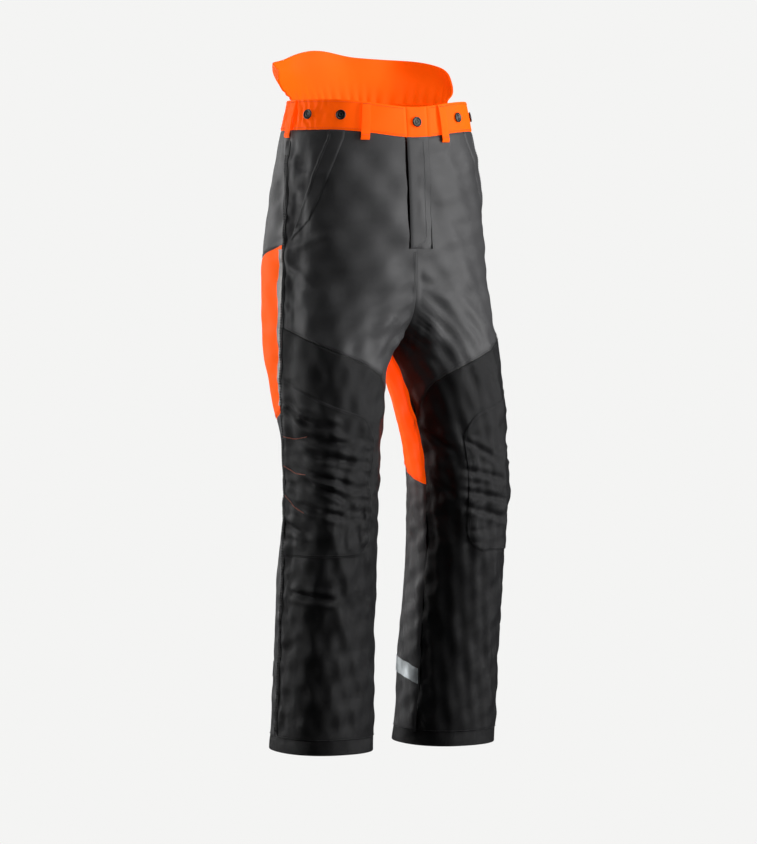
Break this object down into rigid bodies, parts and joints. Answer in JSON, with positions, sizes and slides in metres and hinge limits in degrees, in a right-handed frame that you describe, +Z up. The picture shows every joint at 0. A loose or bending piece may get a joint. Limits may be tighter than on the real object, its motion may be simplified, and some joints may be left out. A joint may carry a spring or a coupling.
{
  "type": "chainsaw protective trousers",
  "caption": "Full-length protective work trousers with a raised back panel, gathered waistband, fly closure, slash pockets, reinforced knees and saw protection inserts.",
  "frame": {"origin": "centre of the waist opening, 6 mm under the waistband's top edge over the side seams", "axes": "+Z up along the standing wearer, -Y is the front, -X is the wearer's right"},
  "size_m": [0.412, 0.3044, 1.1691],
  "materials": {
    "orange_fabric": "dense plain weave, matt, slight sheen",
    "orange_webbing": "folded and stitched strap, matt",
    "grey_fabric": "fine plain weave with a soft sheen",
    "black_fabric": "coarse abrasion resistant weave, matt",
    "lining": "light smooth lining",
    "saw_protection": "layered knitted fibre",
    "reflective": "silver retroreflective tape",
    "elastic": "woven elastic",
    "black_button": "moulded, satin",
    "steel": "dull plated steel",
    "zip_tape": "woven tape",
    "zip_brass": "dull brass"
  },
  "bodies": {
    "hips": {"back_pocket": "grey_fabric", "back_thigh_left": "orange_fabric", "back_thigh_right": "orange_fabric", "belt_loop_back_centre": "orange_webbing", "belt_loop_back_left": "orange_webbing", "belt_loop_back_right": "orange_webbing", "belt_loop_front_left": "orange_webbing", "belt_loop_front_right": "orange_webbing", "belt_loop_side_left": "orange_webbing", "belt_loop_side_right": "orange_webbing", "brace_buttons": "black_button", "button_tacks": "steel", "closure_button": "steel", "fly_shield": "lining", "front_thigh_left": "black_fabric", "front_thigh_right": "black_fabric", "front_upper_left": "grey_fabric", "front_upper_right": "grey_fabric", "high_back_panel": "orange_fabric", "insert_thigh_left": "saw_protection", "insert_thigh_right": "saw_protection", "pocket_bag_left": "lining", "pocket_bag_right": "lining", "pocket_welt_left": "grey_fabric", "pocket_welt_right": "grey_fabric", "reflective_piping_left": "reflective", "reflective_piping_right": "reflective", "seat_left": "grey_fabric", "seat_right": "grey_fabric", "waist_elastic": "elastic", "waistband_back": "orange_fabric", "waistband_left": "orange_fabric", "waistband_right": "orange_fabric", "waistband_underlap": "orange_fabric", "zip_stops": "zip_brass", "zip_tapes": "zip_tape", "zip_teeth": "zip_brass"},
    "shin_right": {"back_knee_right": "grey_fabric", "calf_back_right": "grey_fabric", "hem_right": "black_fabric", "inner_knee_right": "black_fabric", "insert_knee_right": "saw_protection", "insert_shin_right": "saw_protection", "knee_panel_right": "black_fabric", "reflective_band_right": "reflective", "shin_front_right": "black_fabric"},
    "shin_left": {"back_knee_left": "grey_fabric", "calf_back_left": "grey_fabric", "hem_left": "black_fabric", "inner_knee_left": "black_fabric", "insert_knee_left": "saw_protection", "insert_shin_left": "saw_protection", "knee_panel_left": "black_fabric", "reflective_band_left": "reflective", "shin_front_left": "black_fabric"},
    "fly_flap": {"fly_placket": "grey_fabric", "waistband_tab": "orange_fabric"},
    "zip_slider": {"zip_slider": "zip_brass"},
    "zip_puller": {"zip_puller": "zip_brass"},
    "back_pocket_flap": {"back_pocket_flap": "grey_fabric"}
  },
  "joints": [
    {"name": "knee_right", "type": "hinge", "parent": "hips", "child": "shin_right", "pos_m": [-0.1285, -0.062, -0.645], "axis": [1, 0, 0], "range_deg": [0, 60], "deforming": ["knee_panel_right", "inner_knee_right", "back_knee_right", "insert_knee_right"]},
    {"name": "knee_left", "type": "hinge", "parent": "hips", "child": "shin_left", "pos_m": [0.1285, -0.062, -0.645], "axis": [1, 0, 0], "range_deg": [0, 60], "deforming": ["knee_panel_left", "inner_knee_left", "back_knee_left", "insert_knee_left"]},
    {"name": "fly_flap_hinge", "type": "hinge", "parent": "hips", "child": "fly_flap", "pos_m": [0.03, -0.11598, -0.025], "axis": [0, 0.0765, 0.9971], "range_deg": [0, 75]},
    {"name": "zip_slide", "type": "slide", "parent": "hips", "child": "zip_slider", "axis": [0, -0.0711, -0.9975], "range_m": [0, 0.146]},
    {"name": "zip_puller_hinge", "type": "hinge", "parent": "zip_slider", "child": "zip_puller", "pos_m": [0.003, -0.11454, -0.08021], "axis": [-1, 0, 0], "range_deg": [0, 8]},
    {"name": "pocket_flap_hinge", "type": "hinge", "parent": "hips", "child": "back_pocket_flap", "pos_m": [-0.07483, 0.1258, -0.09], "axis": [0.9725, 0.233, 0], "range_deg": [0, 110]}
  ]
}
